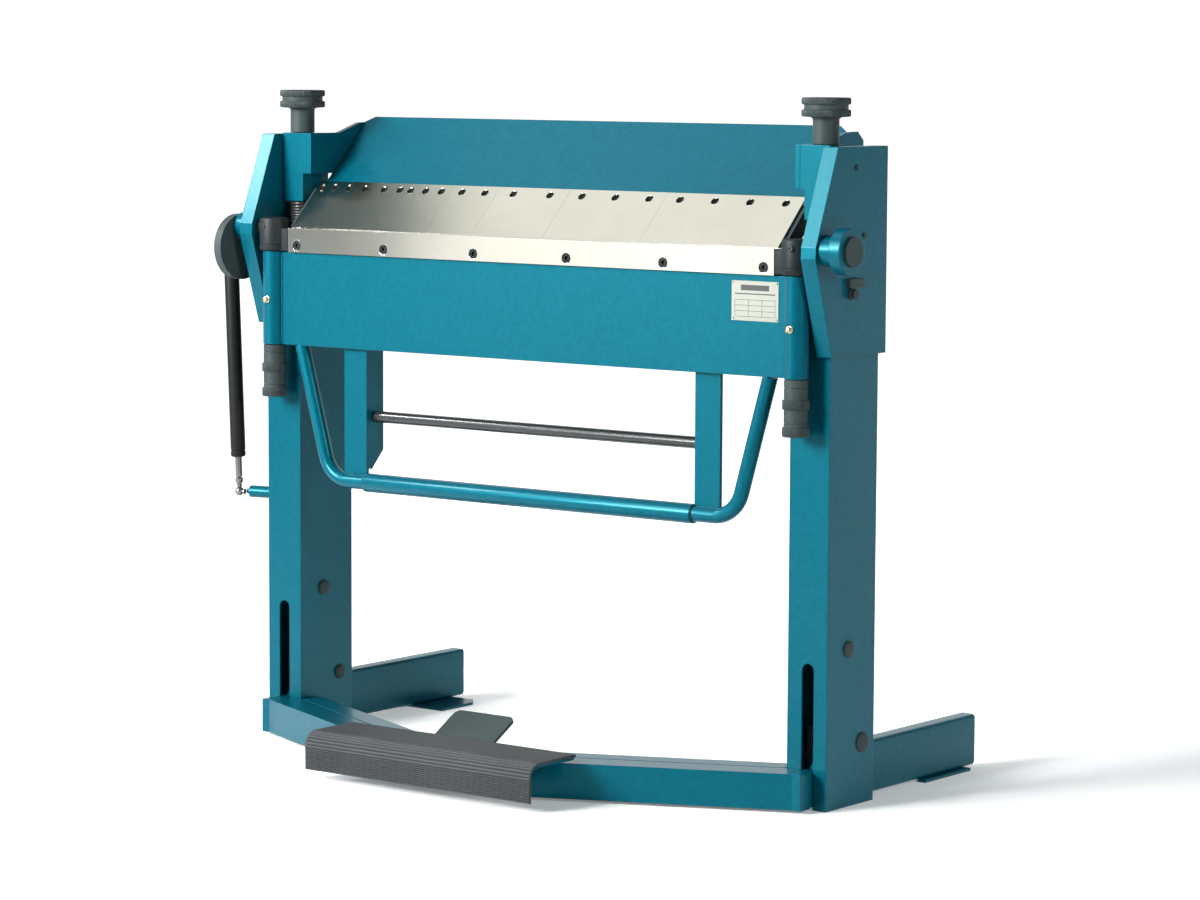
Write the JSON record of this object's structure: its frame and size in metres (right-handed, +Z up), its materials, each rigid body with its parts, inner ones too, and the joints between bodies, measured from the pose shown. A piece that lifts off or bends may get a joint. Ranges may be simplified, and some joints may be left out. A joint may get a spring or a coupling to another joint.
{
  "type": "sheet metal brake",
  "caption": "Foot-operated box and pan sheet metal folder: segmented clamping beam, swinging bending beam with handle, clamping pedal and gas spring.",
  "frame": {"origin": "on the floor, midway between the two anchor holes in the rear feet", "axes": "+X along the bend line to the operator's right, +Y to the rear, +Z up"},
  "size_m": [1.322, 0.783, 1.126],
  "materials": {
    "teal_paint": "glossy teal machine enamel with a fine orange-peel",
    "ground_steel": "surface-ground hardened steel",
    "black_steel": "black oxide, satin",
    "black_rod": "black gloss enamel",
    "chrome_rod": "hard chrome",
    "ribbed_rubber": "dark grey ribbed rubber",
    "plate_print": "cream printed aluminium plate",
    "brass": "plain brass",
    "spring_steel": "black oiled spring steel"
  },
  "bodies": {
    "frame": {"left_post": "teal_paint", "right_post": "teal_paint", "post_caps": "teal_paint", "left_cheek": "teal_paint", "right_cheek": "teal_paint", "bed_beam": "teal_paint", "bed_blade": "ground_steel", "left_foot": "teal_paint", "right_foot": "teal_paint", "foot_pads": "teal_paint", "foot_caps": "teal_paint", "rod_guides": "black_steel", "rod_guide_bolts": "black_steel", "pedal_pivots": "black_steel", "gas_spring_bracket": "teal_paint", "angle_stop": "black_steel", "cheek_screws": "black_steel", "left_spring": "spring_steel", "right_spring": "spring_steel"},
    "hinge_arms": {"left_hinge_arm": "black_steel", "right_hinge_arm": "black_steel", "arm_set_screws": "black_steel", "crank_disc": "black_steel", "pivot_cap": "black_steel"},
    "bending_beam": {"apron_plate": "teal_paint", "left_end_tube": "teal_paint", "right_end_tube": "teal_paint", "apron_blade": "ground_steel", "blade_screws": "black_steel", "left_rib": "teal_paint", "right_rib": "teal_paint", "rib_rod": "black_rod", "handle_tube": "teal_paint", "handle_sleeve": "teal_paint", "rating_plate": "plate_print", "grease_nipples": "brass"},
    "adjuster_left": {"left_adjuster": "black_steel"},
    "adjuster_right": {"right_adjuster": "black_steel"},
    "gas_spring_body": {"gas_cylinder": "black_steel"},
    "gas_spring_rod": {"gas_rod": "chrome_rod"},
    "clamping_beam": {"clamp_plate": "teal_paint", "clamp_web": "teal_paint", "left_gusset": "teal_paint", "right_gusset": "teal_paint", "left_guide_block": "teal_paint", "right_guide_block": "teal_paint", "left_clamp_rod": "black_steel", "right_clamp_rod": "black_steel", "narrow_segments": "ground_steel", "middle_segments": "ground_steel", "wide_segments": "ground_steel", "segment_screws": "black_steel", "segment_end_plates": "black_steel"},
    "handwheel_left": {"left_handwheel": "black_steel"},
    "handwheel_right": {"right_handwheel": "black_steel"},
    "pedal": {"pedal_bow": "teal_paint", "pedal_arms": "teal_paint", "pedal_shoe": "teal_paint", "pedal_cover": "ribbed_rubber", "toe_plate": "black_steel"}
  },
  "joints": [
    {"name": "beam_swing", "type": "hinge", "parent": "frame", "child": "hinge_arms", "pos_m": [0, -0.401, 0.89], "axis": [-1, 0, 0], "range_deg": [0, 130]},
    {"name": "beam_drop", "type": "slide", "parent": "hinge_arms", "child": "bending_beam", "axis": [0, 0, -1], "range_m": [0, 0.008]},
    {"name": "adjuster_left_turn", "type": "hinge", "parent": "bending_beam", "child": "adjuster_left", "pos_m": [-0.549, -0.401, 0.64], "axis": [0, 0, 1], "range_deg": [0, 1441]},
    {"name": "adjuster_right_turn", "type": "hinge", "parent": "bending_beam", "child": "adjuster_right", "pos_m": [0.549, -0.401, 0.64], "axis": [0, 0, 1], "range_deg": [0, 1441]},
    {"name": "gas_spring_lean", "type": "hinge", "parent": "hinge_arms", "child": "gas_spring_body", "pos_m": [-0.653, -0.399, 0.85], "axis": [-1, 0, 0], "range_deg": [-134, 0]},
    {"name": "gas_spring_stroke", "type": "slide", "parent": "gas_spring_body", "child": "gas_spring_rod", "axis": [0, 0.0651, -0.9979], "range_m": [0, 0.068]},
    {"name": "clamp_lift", "type": "slide", "parent": "frame", "child": "clamping_beam", "axis": [0, 0, 1], "range_m": [0, 0.029], "deforming": ["left_spring", "right_spring"]},
    {"name": "handwheel_left_turn", "type": "hinge", "parent": "clamping_beam", "child": "handwheel_left", "pos_m": [-0.5495, -0.326, 1.09], "axis": [0, 0, 1], "continuous": true},
    {"name": "handwheel_right_turn", "type": "hinge", "parent": "clamping_beam", "child": "handwheel_right", "pos_m": [0.5495, -0.326, 1.09], "axis": [0, 0, 1], "continuous": true},
    {"name": "pedal_lift", "type": "hinge", "parent": "frame", "child": "pedal", "pos_m": [0, -0.269, 0.099], "axis": [-1, 0, 0], "range_deg": [0, 29.7]}
  ],
  "couplings": [
    {"joint": "adjuster_left_turn", "follows": "beam_drop", "rad_per_m": 3141.6},
    {"joint": "adjuster_right_turn", "follows": "beam_drop", "rad_per_m": 3141.6},
    {"joint": "gas_spring_lean", "follows": "beam_swing", "ratio": -1.0263},
    {"joint": "gas_spring_stroke", "follows": "beam_swing", "m_per_rad": 0.02959},
    {"joint": "pedal_lift", "follows": "clamp_lift", "rad_per_m": 17.81}
  ]
}
